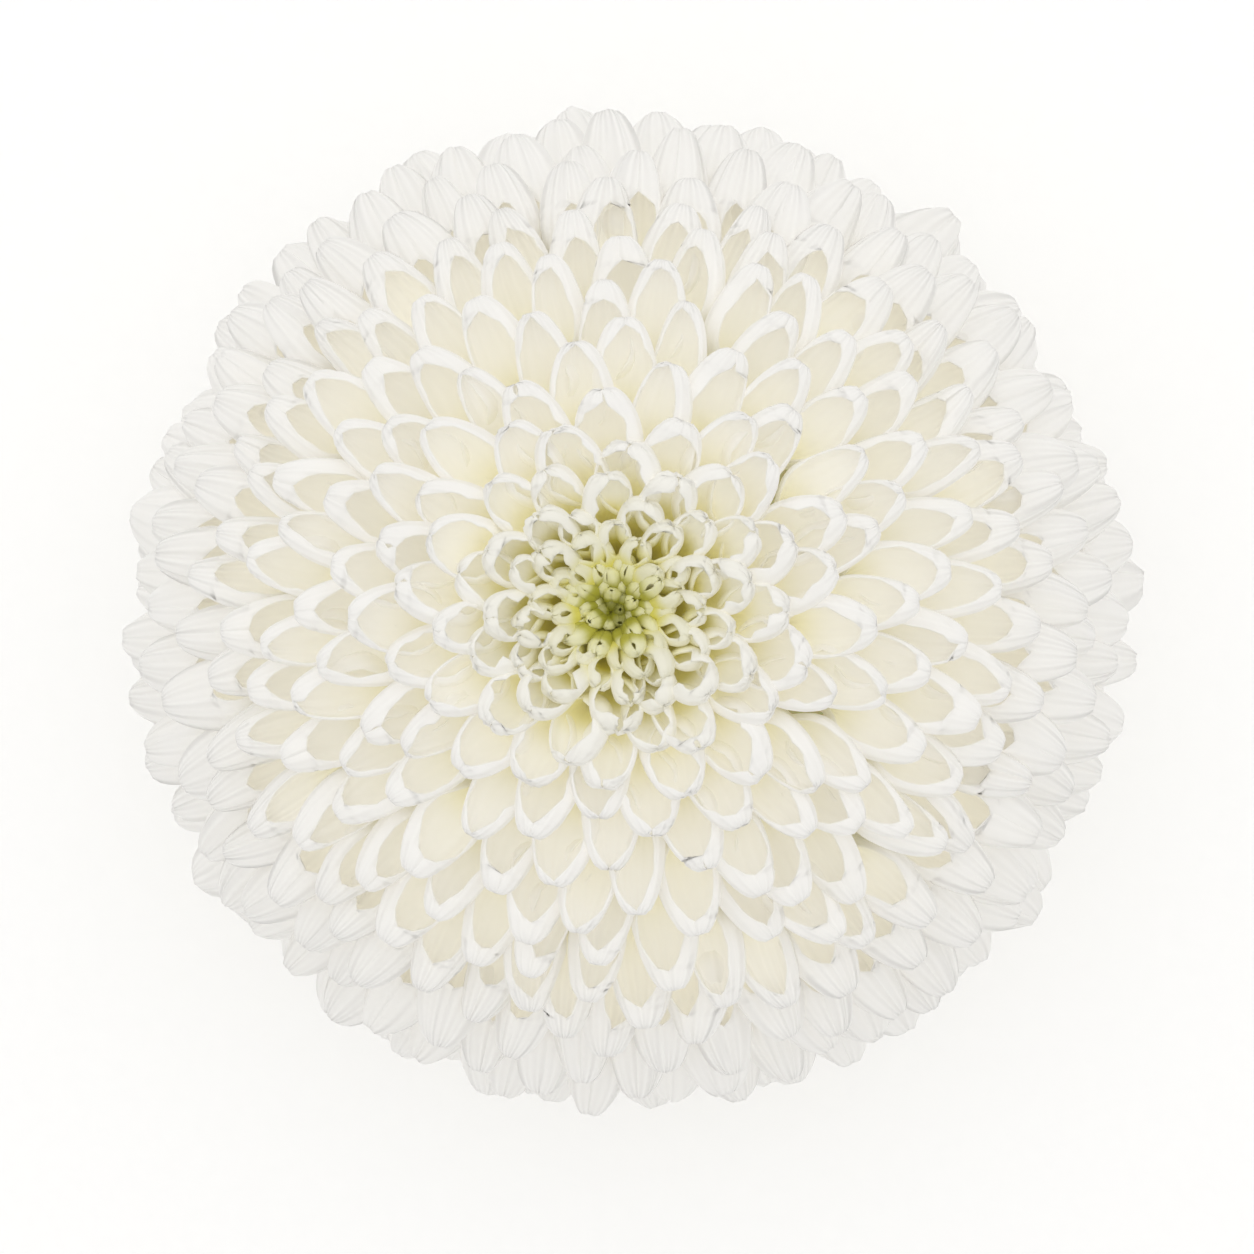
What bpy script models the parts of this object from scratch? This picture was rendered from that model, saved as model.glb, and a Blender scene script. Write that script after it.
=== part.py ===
"""Head of a white pompon chrysanthemum, picked short and lying face up on its lowest florets.

Metres, +Z up. The origin is on the surface that the head lies on, under the middle of the ball.

ray_florets     the ball of white, spoon-shaped florets on the dense middle that their tubes fill
centre_florets  the green eye of closed florets, in a dimple at the crown
involucre       the green cup of bracts that holds the ball from below
stem            the ribbed stalk, cut off just under the cup
"""

import math
import random

import bmesh
import bpy
from mathutils import Vector

# The ball that the tips of the florets lie on: two half ellipsoids, joined at their widest ring.
HEAD_RADIUS = 0.035
WIDEST_Z = 0.022
CROWN_RISE = 0.032
UNDER_DROP = 0.033
LAST_TIP_ANGLE = math.radians(138)
DIMPLE_DEPTH = 0.0035
DIMPLE_RADIUS = 0.005

# The dense middle, also two half ellipsoids, with a round pocket at its top for the green eye.
CORE_RADIUS = 0.024
CORE_RISE = 0.021
CORE_DROP = 0.009
CORE_SEGMENTS = 15
CORE_RINGS = 7
POCKET_RADIUS = 0.0034
POCKET_DEPTH = 0.0035

# How far the florets lean: the angle of a floret's tip from the crown, and that of its root, in degrees.
LEAN = (
    (9, 10.5),
    (15, 12),
    (20, 14),
    (27, 18.5),
    (35, 25),
    (44, 33),
    (53, 43),
    (64, 53),
    (75, 61),
    (90, 74),
    (105, 91),
    (120, 113),
    (138, 145),
)

# Share of the ball's surface for each white floret: small at the eye, even over the face, large below.
GOLDEN_ANGLE = math.pi * (3 - math.sqrt(5))
EYE_AREA = 1.1e-6
FACE_AREA = 24e-6
UNDER_AREA = 36e-6
AREA_GROWTH_RADIUS = 0.012
AREA_GROWTH_POWER = 2.3
UNDER_STARTS = math.radians(50)
UNDER_ENDS = math.radians(100)

# One white floret. It is as wide as a square of its share of the surface. The stations are shares of its
# length, and the widths, the depth of the cup and the hood of the tip are shares of its width.
FLORET_THICKNESS = 0.0008
ROOT_SUNK = 0.0030
BODY_AT = 0.62
BODY_CUP = 0.26
SHOULDER_AT = 0.88
SHOULDER_WIDTH = 0.80
SHOULDER_CUP = 0.286
TIP_WIDTH = 0.34
TIP_HOOD = 0.12
SHOULDERS_UNTIL = math.radians(74)

# How soon a floret bends from its root's direction to its tip's. The lowest ones bend late, along the table.
KNEE = 0.38
LOW_KNEE = 0.85
LOW_FROM = math.radians(112)
FLOOR_BITE = 0.0010
TABLE_SIZE = 0.14

# How much the florets differ from one another.
SEED = 41
TURN_SPREAD = math.radians(1.5)
SHORTEST, LONGEST = 0.97, 1.02
NARROWEST, WIDEST = 0.95, 1.05

# The green eye: a plug in the pocket, and the closed florets that stand on it.
EYE_FLORETS = 55
EYE_TIP_RADIUS = 0.0047
EYE_ROOT_RADIUS = 0.0033
EYE_PLUG_RADIUS = 0.0031
EYE_PLUG_BASE_Z = 0.0398
EYE_PLUG_FLARE_RADIUS = 0.0036
EYE_PLUG_FLARE_Z = 0.0462
EYE_PLUG_TOP_Z = 0.0470
EYE_FLORET_WIDTH = 0.00095
EYE_FLORET_BODY_AT = 0.66
EYE_FLORET_ROOT_WIDTH = 0.62
EYE_FLORET_FRONT = 0.3
EYE_ROOT_SUNK = 0.0006
WHITE_STARTS = 0.0057

# The cup under the ball, as (radius, z), and its rows of bracts, as (count, reach, tip z, width).
CUP_PROFILE = (
    (0.0, 0.0083),
    (0.0027, 0.0083),
    (0.0047, 0.0090),
    (0.0068, 0.0106),
    (0.0078, 0.0127),
    (0.0, 0.0126),
)
CUP_SEGMENTS = 20
BRACT_ROWS = (
    (8, 0.0088, 0.0098, 0.0044),
    (10, 0.0109, 0.0115, 0.0044),
    (13, 0.0128, 0.0132, 0.0042),
)
BRACT_THICKNESS = 0.0007
BRACT_RIM_LIFT = 0.00014
BRACT_BODY_AT = 0.6
BRACT_ROOT_WIDTH = 0.7
BRACT_ROOT_RADIUS = 0.0045
BRACT_ROOT_DROP = 0.0006
BRACT_SLOPE = 0.25

# The stalk.
STEM_RADIUS = 0.0024
STEM_RIBS = 10
STEM_RIB_DEPTH = 0.00022
STEM_CUT_Z = 0.0012
STEM_TOP_Z = 0.0080
STEM_RINGS = 4
STEM_FLARE = 0.12


SHARP_FROM = math.radians(35)


def start_empty():
    for obj in list(bpy.data.objects):
        bpy.data.objects.remove(obj, do_unlink=True)


def material(name, colour, roughness):
    made = bpy.data.materials.new(name)
    made.use_nodes = True
    shader = made.node_tree.nodes["Principled BSDF"]
    shader.inputs["Base Color"].default_value = (*colour, 1.0)
    shader.inputs["Roughness"].default_value = roughness
    shader.inputs["Metallic"].default_value = 0.0
    made.diffuse_color = (*colour, 1.0)
    return made


def add_object(name, bm, finish=None):
    """A new object from a bmesh, with its faces turned outwards."""
    bmesh.ops.recalc_face_normals(bm, faces=bm.faces)
    mesh = bpy.data.meshes.new(name)
    bm.to_mesh(mesh)
    bm.free()
    mesh.shade_smooth()
    mesh.set_sharp_from_angle(angle=SHARP_FROM)
    if finish:
        mesh.materials.append(finish)
    obj = bpy.data.objects.new(name, mesh)
    bpy.context.scene.collection.objects.link(obj)
    return obj


def world(radius, z, turn):
    return Vector((radius * math.cos(turn), radius * math.sin(turn), z))


def on_ball(radius, rise, drop, angle):
    """Distance from the axis and height of a point on a ball, at an angle from its crown."""
    height = rise if angle < math.pi / 2 else drop
    return radius * math.sin(angle), WIDEST_Z + height * math.cos(angle)


def tip_point(angle):
    radius, z = on_ball(HEAD_RADIUS, CROWN_RISE, UNDER_DROP, angle)
    return radius, max(z - DIMPLE_DEPTH * math.exp(-((radius / DIMPLE_RADIUS) ** 2)), -FLOOR_BITE)


def root_angle(tip_angle):
    degrees = math.degrees(tip_angle)
    spans = list(zip(LEAN, LEAN[1:]))
    (low, low_root), (high, high_root) = next((s for s in spans if degrees <= s[1][0]), spans[-1])
    share = (degrees - low) / (high - low)
    return math.radians(low_root + share * (high_root - low_root))


def core_normal(angle):
    """Outward direction of the core's surface, as steps away from the axis and up."""
    height = CORE_RISE if angle < math.pi / 2 else CORE_DROP
    away, up = math.sin(angle) / CORE_RADIUS, math.cos(angle) / height
    length = math.hypot(away, up)
    return away / length, up / length


def lowness(angle):
    """From 0 on most florets to 1 on the lowest, which the head lies on."""
    return max(0.0, (angle - LOW_FROM) / (LAST_TIP_ANGLE - LOW_FROM))


def floret_area(angle):
    radius = HEAD_RADIUS * math.sin(angle)
    if angle > math.pi / 2:
        radius = HEAD_RADIUS
    grown = 1 - math.exp(-((radius / AREA_GROWTH_RADIUS) ** AREA_GROWTH_POWER))
    below = min(1.0, max(0.0, (angle - UNDER_STARTS) / (UNDER_ENDS - UNDER_STARTS)))
    return EYE_AREA + (FACE_AREA - EYE_AREA) * grown + (UNDER_AREA - FACE_AREA) * below


def white_places():
    """Tip angle, turn about the axis and share of the surface of every white floret, from the eye out."""
    angle = math.asin(WHITE_STARTS / HEAD_RADIUS)
    index = EYE_FLORETS
    places = []
    while angle < LAST_TIP_ANGLE:
        area = floret_area(angle)
        places.append((angle, index * GOLDEN_ANGLE, area))
        height = CROWN_RISE if angle < math.pi / 2 else UNDER_DROP
        along = math.hypot(HEAD_RADIUS * math.cos(angle), height * math.sin(angle))
        angle += area / (2 * math.pi * HEAD_RADIUS * math.sin(angle) * along)
        index += 1
    return places


def bend(root, knee, tip, share):
    """Point and direction on the curve from root to tip that sets out towards the knee."""
    point = root * (1 - share) ** 2 + knee * 2 * share * (1 - share) + tip * share**2
    along = (knee - root) * (1 - share) + (tip - knee) * share
    return point, along.normalized()


def section(point, along, side, corners):
    """Corners given as (across, towards the open side), set round a point of the floret's line."""
    front = along.cross(side)
    return [point + side * across + front * forward for across, forward in corners]


def cupped(width, cup):
    """Left rim, keel, right rim and inner line of a blade whose rims stand forward."""
    half, skin = width / 2, FLORET_THICKNESS / 2
    return (-half, cup), (0, -skin), (half, cup), (0, skin)


def blade(root, knee, tip, side, width, hood, with_shoulder):
    """A closed blade that narrows to a buried foot, hollow along its open side and blunt at its tip."""
    start, along = bend(root, knee, tip, 0)
    buried = start - along * ROOT_SUNK
    body = cupped(width, width * BODY_CUP)
    rings = [section(*bend(root, knee, tip, BODY_AT), side, body)]
    if with_shoulder:
        shoulder = cupped(width * SHOULDER_WIDTH, width * SHOULDER_CUP)
        rings.append(section(*bend(root, knee, tip, SHOULDER_AT), side, shoulder))
    end, along = bend(root, knee, tip, 1)
    tip_half = width * TIP_WIDTH / 2
    ends = section(end, along, side, ((-tip_half, hood), (tip_half, hood)))

    bm = bmesh.new()
    foot = bm.verts.new(buried)
    rings = [[bm.verts.new(v) for v in ring] for ring in rings]
    ends = [bm.verts.new(v) for v in ends]
    for corner in range(4):
        bm.faces.new((foot, rings[0][corner - 1], rings[0][corner]))
    for low, high in zip(rings, rings[1:]):
        for rim in (0, 2):
            for middle in (1, 3):
                bm.faces.new((low[rim], low[middle], high[rim]))
                bm.faces.new((low[middle], high[middle], high[rim]))
    left, keel, right, inner = rings[-1]
    for middle in (keel, inner):
        bm.faces.new((left, middle, ends[0]))
        bm.faces.new((middle, right, ends[1]))
        bm.faces.new((middle, ends[1], ends[0]))
    return bm


def bud(root, tip, side, width):
    """A closed floret of the eye: a three-sided bud, fullest above its middle."""
    along = (tip - root).normalized()
    bm = bmesh.new()
    rings = []
    for share, wide in ((0, width * EYE_FLORET_ROOT_WIDTH), (EYE_FLORET_BODY_AT, width)):
        front = wide * EYE_FLORET_FRONT
        corners = ((-wide / 2, front), (0, -wide / 2), (wide / 2, front))
        rings.append([bm.verts.new(v) for v in section(root.lerp(tip, share), along, side, corners)])
    end = bm.verts.new(tip)
    bm.faces.new(rings[0])
    for a, b in ((0, 1), (1, 2), (2, 0)):
        bm.faces.new((rings[0][a], rings[0][b], rings[1][b], rings[1][a]))
        bm.faces.new((rings[1][a], rings[1][b], end))
    bmesh.ops.triangulate(bm, faces=bm.faces)
    return bm


def turned(profile, segments):
    """A solid turned about the Z axis from (radius, z) points that begin and end on the axis."""
    bm = bmesh.new()
    rings = []
    for radius, z in profile:
        turns = [0] if radius == 0 else [2 * math.pi * i / segments for i in range(segments)]
        rings.append([bm.verts.new(world(radius, z, turn)) for turn in turns])
    for low, high in zip(rings, rings[1:]):
        for i in range(segments):
            corners = [low[i % len(low)], low[(i + 1) % len(low)], high[(i + 1) % len(high)], high[i % len(high)]]
            bm.faces.new(list(dict.fromkeys(corners)))
    return bm


def drop_inner_shells(obj):
    """Keeps the outer skin alone: fills hollows that the union sealed and drops loose scraps."""
    bm = bmesh.new()
    bm.from_mesh(obj.data)
    unseen = set(bm.faces)
    shells = []
    while unseen:
        stack = [unseen.pop()]
        shell = []
        while stack:
            face = stack.pop()
            shell.append(face)
            for edge in face.edges:
                for other in edge.link_faces:
                    if other in unseen:
                        unseen.remove(other)
                        stack.append(other)
        shells.append(shell)
    outer = max(shells, key=len)
    extra = [face for shell in shells if shell is not outer for face in shell]
    bmesh.ops.delete(bm, geom=extra, context="FACES")
    bm.to_mesh(obj.data)
    bm.free()


def fuse(body, pieces):
    """Joins the pieces to the body in one union and removes them."""
    group = bpy.data.collections.new(body.name + "_pieces")
    bpy.context.scene.collection.children.link(group)
    for piece in pieces:
        bpy.context.scene.collection.objects.unlink(piece)
        group.objects.link(piece)
    union = body.modifiers.new("union", "BOOLEAN")
    union.operation = "UNION"
    union.operand_type = "COLLECTION"
    union.collection = group
    union.solver = "EXACT"
    with bpy.context.temp_override(object=body, active_object=body, selected_objects=[body]):
        bpy.ops.object.modifier_apply(modifier=union.name)
    for piece in pieces:
        bpy.data.objects.remove(piece, do_unlink=True)
    bpy.data.collections.remove(group)
    drop_inner_shells(body)


def core_profile():
    """From the bottom of the core up its side to the pocket, down the pocket's wall and in to the axis."""
    lip = math.asin(POCKET_RADIUS / CORE_RADIUS)
    points = [(0.0, WIDEST_Z - CORE_DROP)]
    for i in range(1, CORE_RINGS + 1):
        angle = math.pi + (lip - math.pi) * i / CORE_RINGS
        points.append(on_ball(CORE_RADIUS, CORE_RISE, CORE_DROP, angle))
    floor_z = points[-1][1] - POCKET_DEPTH
    return points + [(POCKET_RADIUS, floor_z), (0.0, floor_z)]


def make_ray_florets(finish):
    draw = random.Random(SEED)
    florets = []
    for number, (angle, turn, area) in enumerate(white_places()):
        turn += draw.uniform(-TURN_SPREAD, TURN_SPREAD)
        stretch = draw.uniform(SHORTEST, LONGEST)
        width = math.sqrt(area) * draw.uniform(NARROWEST, WIDEST)
        start = root_angle(angle)
        away, up = core_normal(start)
        root_radius, root_z = on_ball(CORE_RADIUS, CORE_RISE, CORE_DROP, start)
        root = world(root_radius, root_z, turn)
        tip = root + (world(*tip_point(angle), turn) - root) * stretch
        bends_at = KNEE + (LOW_KNEE - KNEE) * lowness(angle)
        knee = root + world(away, up, turn) * (tip - root).length * bends_at
        side = Vector((-math.sin(turn), math.cos(turn), 0))
        hood = width * TIP_HOOD * (1 - lowness(angle))
        shape = blade(root, knee, tip, side, width, hood, angle < SHOULDERS_UNTIL)
        florets.append(add_object(f"floret_{number}", shape))
    core = add_object("ray_florets", turned(core_profile(), CORE_SEGMENTS), finish)
    fuse(core, florets)
    cut_flat_spots(core)


def cut_flat_spots(core):
    """Trims what reaches below the surface, so that the lowest florets end in small flat spots."""
    table = bmesh.new()
    bmesh.ops.create_cube(table, size=TABLE_SIZE)
    bmesh.ops.translate(table, verts=table.verts, vec=(0, 0, -TABLE_SIZE / 2))
    cutter = add_object("table_cutter", table)
    cutter.hide_render = True
    cutter.display_type = "WIRE"
    flat = core.modifiers.new("flat_spots", "BOOLEAN")
    flat.operation = "DIFFERENCE"
    flat.object = cutter
    flat.solver = "EXACT"


def make_centre_florets(finish):
    florets = []
    for number in range(EYE_FLORETS):
        share = math.sqrt((number + 0.5) / EYE_FLORETS)
        turn = number * GOLDEN_ANGLE
        tip_radius = share * EYE_TIP_RADIUS
        tip = world(*tip_point(math.asin(tip_radius / HEAD_RADIUS)), turn)
        plug_z = EYE_PLUG_TOP_Z + (EYE_PLUG_FLARE_Z - EYE_PLUG_TOP_Z) * share**2
        root = world(share * EYE_ROOT_RADIUS, plug_z - EYE_ROOT_SUNK, turn)
        side = Vector((-math.sin(turn), math.cos(turn), 0))
        florets.append(add_object(f"bud_{number}", bud(root, tip, side, EYE_FLORET_WIDTH)))
    profile = (
        (0.0, EYE_PLUG_BASE_Z),
        (EYE_PLUG_RADIUS, EYE_PLUG_BASE_Z),
        (EYE_PLUG_RADIUS, WIDEST_Z + CORE_RISE),
        (EYE_PLUG_FLARE_RADIUS, EYE_PLUG_FLARE_Z),
        (0.0, EYE_PLUG_TOP_Z),
    )
    plug = add_object("centre_florets", turned(profile, CORE_SEGMENTS), finish)
    fuse(plug, florets)


def bract(turn, reach, z, width):
    """One bract: a thick, pointed scale that lies out along the underside of the ball."""
    side = Vector((-math.sin(turn), math.cos(turn), 0))
    root_z = z - BRACT_ROOT_DROP - (reach - BRACT_ROOT_RADIUS) * BRACT_SLOPE
    root = world(BRACT_ROOT_RADIUS, root_z, turn)
    tip = world(reach, z, turn)
    along = (tip - root).normalized()
    skin = BRACT_THICKNESS / 2
    bm = bmesh.new()
    rings = []
    for share, wide in ((0, width * BRACT_ROOT_WIDTH), (BRACT_BODY_AT, width)):
        corners = ((-wide / 2, BRACT_RIM_LIFT), (0, -skin), (wide / 2, BRACT_RIM_LIFT), (0, skin))
        rings.append([bm.verts.new(v) for v in section(root.lerp(tip, share), along, side, corners)])
    end = bm.verts.new(tip)
    bm.faces.new(rings[0])
    for i in range(4):
        j = (i + 1) % 4
        bm.faces.new((rings[0][i], rings[0][j], rings[1][j], rings[1][i]))
        bm.faces.new((rings[1][i], rings[1][j], end))
    bmesh.ops.triangulate(bm, faces=bm.faces)
    return bm


def make_involucre(finish):
    bracts = []
    for row, (count, reach, z, width) in enumerate(BRACT_ROWS):
        for i in range(count):
            turn = 2 * math.pi * (i + row / len(BRACT_ROWS)) / count
            bracts.append(add_object(f"bract_{row}_{i}", bract(turn, reach, z, width)))
    cup = add_object("involucre", turned(CUP_PROFILE, CUP_SEGMENTS), finish)
    fuse(cup, bracts)


def make_stem(finish):
    """Rings of ribs and grooves, a little wider towards the cup."""
    bm = bmesh.new()
    rings = []
    for i in range(STEM_RINGS):
        share = i / (STEM_RINGS - 1)
        z = STEM_CUT_Z + share * (STEM_TOP_Z - STEM_CUT_Z)
        wide = STEM_RADIUS * (1 + STEM_FLARE * share**3)
        ring = []
        for j in range(2 * STEM_RIBS):
            radius = wide - STEM_RIB_DEPTH * (j % 2)
            ring.append(bm.verts.new(world(radius, z, math.pi * j / STEM_RIBS)))
        rings.append(ring)
    for low, high in zip(rings, rings[1:]):
        for j in range(len(low)):
            k = (j + 1) % len(low)
            bm.faces.new((low[j], low[k], high[k], high[j]))
    bm.faces.new(rings[0])
    bm.faces.new(rings[-1])
    add_object("stem", bm, finish)


start_empty()
make_ray_florets(material("petal_white", (0.87, 0.86, 0.78), 0.55))
make_centre_florets(material("floret_green", (0.42, 0.43, 0.08), 0.6))
make_involucre(material("bract_green", (0.16, 0.24, 0.07), 0.6))
make_stem(material("stem_green", (0.20, 0.29, 0.10), 0.55))
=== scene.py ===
import math
import random

import bpy
import numpy as np
from mathutils import Matrix, Vector


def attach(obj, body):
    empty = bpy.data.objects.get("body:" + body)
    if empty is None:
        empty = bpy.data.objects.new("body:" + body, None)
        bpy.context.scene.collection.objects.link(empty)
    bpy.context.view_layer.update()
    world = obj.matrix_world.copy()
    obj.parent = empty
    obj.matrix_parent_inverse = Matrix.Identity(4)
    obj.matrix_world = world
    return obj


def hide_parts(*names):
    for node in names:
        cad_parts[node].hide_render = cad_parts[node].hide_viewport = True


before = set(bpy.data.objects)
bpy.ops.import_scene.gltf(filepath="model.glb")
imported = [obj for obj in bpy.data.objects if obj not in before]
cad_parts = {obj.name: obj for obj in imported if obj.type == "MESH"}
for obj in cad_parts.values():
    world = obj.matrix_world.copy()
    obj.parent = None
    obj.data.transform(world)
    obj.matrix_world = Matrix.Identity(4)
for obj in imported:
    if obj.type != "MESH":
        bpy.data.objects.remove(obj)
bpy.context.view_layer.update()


# Stem: the ribbed green stalk, cut off just under the bloom. It is fibrous green tissue round a pale pith,
# grown in one with the cup above it, and its cut end shows the pith and the ring of fibres round it.
STEM_RADIUS = 0.0024
STEM_RIBS = 10
STEM_GROOVE = 0.00022
STEM_CUT_Z = 0.0012
STEM_TOP_Z = 0.0080
STEM_FLARE = 0.12
STEM_AROUND = 120
STEM_RINGS = 22
STEM_FIBRES = 37
STEM_FIBRE_HEIGHT = 0.00003
CUT_END_RINGS = (0.0, 0.3, 0.55, 0.78, 0.92, 1.0)
CUT_END_ROUNDED = 0.02
PITH_DIP = 0.00035
RIB_GREEN = (0.26, 0.36, 0.12)
GROOVE_GREEN = (0.13, 0.21, 0.06)
STREAK_GREEN = (0.36, 0.45, 0.20)
FIBRE_COLOURS = (0.52, 0.58, 0.30), (0.36, 0.44, 0.19)
PITH_COLOURS = (0.76, 0.78, 0.60), (0.66, 0.69, 0.46)


def round_the_axis(radius, z, turn):
    """Points at a distance from the axis of the head, a height and a turn about it."""
    radius, z, turn = np.broadcast_arrays(radius, z, turn)
    return np.stack([radius * np.cos(turn), radius * np.sin(turn), z], -1)


def full_circle(count):
    return np.linspace(0, 2 * math.pi, count, endpoint=False)


def make_mesh(name, points, faces, finish, marks=None):
    """A smooth mesh object, with one number per point for each mark that its finish reads."""
    mesh = bpy.data.meshes.new(name)
    mesh.from_pydata(points.tolist(), [], faces)
    for mark, values in (marks or {}).items():
        mesh.attributes.new(mark, "FLOAT", "POINT").data.foreach_set("value", values.astype(np.float32))
    mesh.shade_smooth()
    mesh.materials.append(finish)
    piece = bpy.data.objects.new(name, mesh)
    bpy.context.scene.collection.objects.link(piece)
    return piece


def seat(piece, node):
    """Puts a grown piece in the place of its solid on the head."""
    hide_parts(node)
    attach(piece, "root")


def turned_faces(rings, around):
    """Faces of a turned form: rings of points, each joined to the next."""
    ring, step = np.meshgrid(np.arange(rings - 1), np.arange(around), indexing="ij")
    low, after = ring * around, (step + 1) % around
    quads = np.stack([low + step, low + after, low + around + after, low + around + step], -1)
    return quads.reshape(-1, 4).tolist()


class Finish:
    """A node material round one shader, built up a node at a time."""

    def __init__(self, name, roughness):
        self.material = bpy.data.materials.new(name)
        self.material.use_nodes = True
        self.tree = self.material.node_tree
        self.shader = self.tree.nodes["Principled BSDF"]
        self.shader.inputs["Roughness"].default_value = roughness

    def node(self, kind, settings=None, sockets=None):
        made = self.tree.nodes.new(kind)
        for key, value in (settings or {}).items():
            setattr(made, key, value)
        for key, value in (sockets or {}).items():
            self.put(value, made.inputs[key])
        return made

    def put(self, value, socket):
        if isinstance(value, bpy.types.NodeSocket):
            self.tree.links.new(value, socket)
        elif socket.type == "RGBA" and len(value) == 3:
            socket.default_value = (*value, 1.0)
        else:
            socket.default_value = value

    def mark(self, name):
        return self.node("ShaderNodeAttribute", {"attribute_name": name}).outputs["Fac"]

    def sums(self, way, first, second=0.0, third=0.5, clamp=False):
        settings = {"operation": way, "use_clamp": clamp}
        return self.node("ShaderNodeMath", settings, {0: first, 1: second, 2: third}).outputs[0]

    def mix(self, share, first, second):
        return self.node("ShaderNodeMix", {"data_type": "RGBA"}, {0: share, 6: first, 7: second}).outputs[2]

    def ramp(self, value, start, end, low, high):
        """Goes smoothly from low to high as the value goes from start to end."""
        sockets = {0: value, 1: start, 2: end, 3: low, 4: high}
        return self.node("ShaderNodeMapRange", {"interpolation_type": "SMOOTHSTEP"}, sockets).outputs[0]

    def place(self, stretch=(1, 1, 1)):
        spot = self.node("ShaderNodeTexCoord").outputs["Object"]
        return self.node("ShaderNodeMapping", None, {"Vector": spot, "Scale": stretch}).outputs[0]

    def noise(self, place, scale, detail=3.0, roughness=0.5):
        sockets = {"Vector": place, "Scale": scale, "Detail": detail, "Roughness": roughness}
        return self.node("ShaderNodeTexNoise", None, sockets).outputs["Fac"]

    def bump(self, height, depth, strength=1.0):
        sockets = {"Height": height, "Distance": depth, "Strength": strength}
        self.put(self.node("ShaderNodeBump", None, sockets).outputs[0], self.shader.inputs["Normal"])

    def colour(self, value):
        self.put(value, self.shader.inputs["Base Color"])

    def roughness(self, value):
        self.put(value, self.shader.inputs["Roughness"])

    def soft_inside(self, weight, reach, radius=None):
        """Light that wanders under the skin, to a reach in metres and a share of it for each colour."""
        self.shader.inputs["Subsurface Weight"].default_value = weight
        self.shader.inputs["Subsurface Scale"].default_value = reach
        if radius:
            self.shader.inputs["Subsurface Radius"].default_value = radius


def stem_finish():
    """Matt green skin, darker in its grooves and streaked along its length, with a pale, damp pith."""
    f = Finish("stem_green", 0.5)
    streaks = f.noise(f.place((1, 1, 0.06)), 2600, 4.0, 0.6)
    skin = f.mix(f.mark("groove"), RIB_GREEN, GROOVE_GREEN)
    skin = f.mix(f.ramp(streaks, 0.35, 0.7, 0, 0.55), skin, STREAK_GREEN)
    fibres = f.mix(f.noise(f.place(), 5200, 2.0), *FIBRE_COLOURS)
    pith = f.mix(f.ramp(f.noise(f.place(), 3800, 3.0), 0.4, 0.65, 0, 1), *PITH_COLOURS)
    colour = f.mix(f.ramp(f.mark("cut"), 0.05, 0.3, 0, 1), skin, fibres)
    f.colour(f.mix(f.ramp(f.mark("cut"), 0.5, 0.75, 0, 1), colour, pith))
    f.roughness(f.ramp(streaks, 0.2, 0.8, 0.42, 0.62))
    f.soft_inside(0.25, 0.0006, (0.6, 1.0, 0.3))
    f.bump(streaks, 0.00012, 0.6)
    return f.material


def make_stem():
    turns = full_circle(STEM_AROUND)
    groove = 0.5 - 0.5 * np.cos(turns * STEM_RIBS)
    rings, grooves, cuts = [], [], []
    for share in CUT_END_RINGS:
        dip = PITH_DIP * (1 - share**4)
        radius = STEM_RADIUS * share * (1 - CUT_END_ROUNDED * share) - STEM_GROOVE * groove * share**3
        rings.append(round_the_axis(radius, STEM_CUT_Z + dip, turns))
        grooves.append(groove * share**3)
        cuts.append(np.full(STEM_AROUND, 1 - 0.85 * share**3))
    for ring in range(1, STEM_RINGS):
        share = ring / (STEM_RINGS - 1)
        radius = STEM_RADIUS * (1 + STEM_FLARE * share**3) - STEM_GROOVE * groove**1.4
        radius = radius + STEM_FIBRE_HEIGHT * np.sin(turns * STEM_FIBRES + 5 * share)
        rings.append(round_the_axis(radius, STEM_CUT_Z + share * (STEM_TOP_Z - STEM_CUT_Z), turns))
        grooves.append(groove)
        cuts.append(np.zeros(STEM_AROUND))
    faces = turned_faces(len(rings), STEM_AROUND)
    marks = {"groove": np.concatenate(grooves), "cut": np.concatenate(cuts)}
    seat(make_mesh("stem_stalk", np.concatenate(rings), faces, stem_finish(), marks), "stem")


make_stem()


# Cup of bracts: overlapping green scales with thin papery edges, grown in three rows round a green cup.
# They are leathery leaf tissue, rooted in the cup, and they hold the ball of florets from below.
CUP_PROFILE = (
    (0.0, 0.0083), (0.0014, 0.0083), (0.0027, 0.0083), (0.0038, 0.0086), (0.0047, 0.0090), (0.0058, 0.0098),
    (0.0068, 0.0106), (0.0075, 0.0117), (0.0078, 0.0127), (0.0040, 0.0128), (0.0, 0.0127),
)
CUP_AROUND = 60
CUP_WAVES = 13
CUP_WAVE_HEIGHT = 0.00006

# Each row of bracts: how many, how far out their tips are, how high those are, and how wide each bract is.
BRACT_ROWS = ((8, 0.0088, 0.0098, 0.0044), (10, 0.0109, 0.0115, 0.0044), (13, 0.0128, 0.0132, 0.0042))
BRACT_OUTLINE = ((0, 0.25, 0.55, 0.8, 0.93, 1), (0.7, 0.86, 1, 0.72, 0.36, 0.04))
BRACT_ROOT_RADIUS = 0.0045
BRACT_ROOT_DROP = 0.0006
BRACT_SLOPE = 0.25
BRACT_LEAN = 0.0003
BRACT_THICKNESS = 0.00042
BRACT_KEEL_HEIGHT = 0.6
BRACT_KEEL_WIDTH = 0.16
BRACT_CURL = 0.00040
BRACT_RIPPLE = 0.00012
BRACT_RIBS = 28
BRACT_STATIONS = 17
BRACT_ACROSS = 11
BRACT_SEED = 7
BRACT_GREENS = (0.17, 0.27, 0.07), (0.24, 0.34, 0.11)
BRACT_KEEL_GREEN = (0.10, 0.18, 0.05)
BRACT_TIP_GREEN = (0.33, 0.38, 0.15)
BRACT_PAPER = (0.70, 0.66, 0.46)


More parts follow.
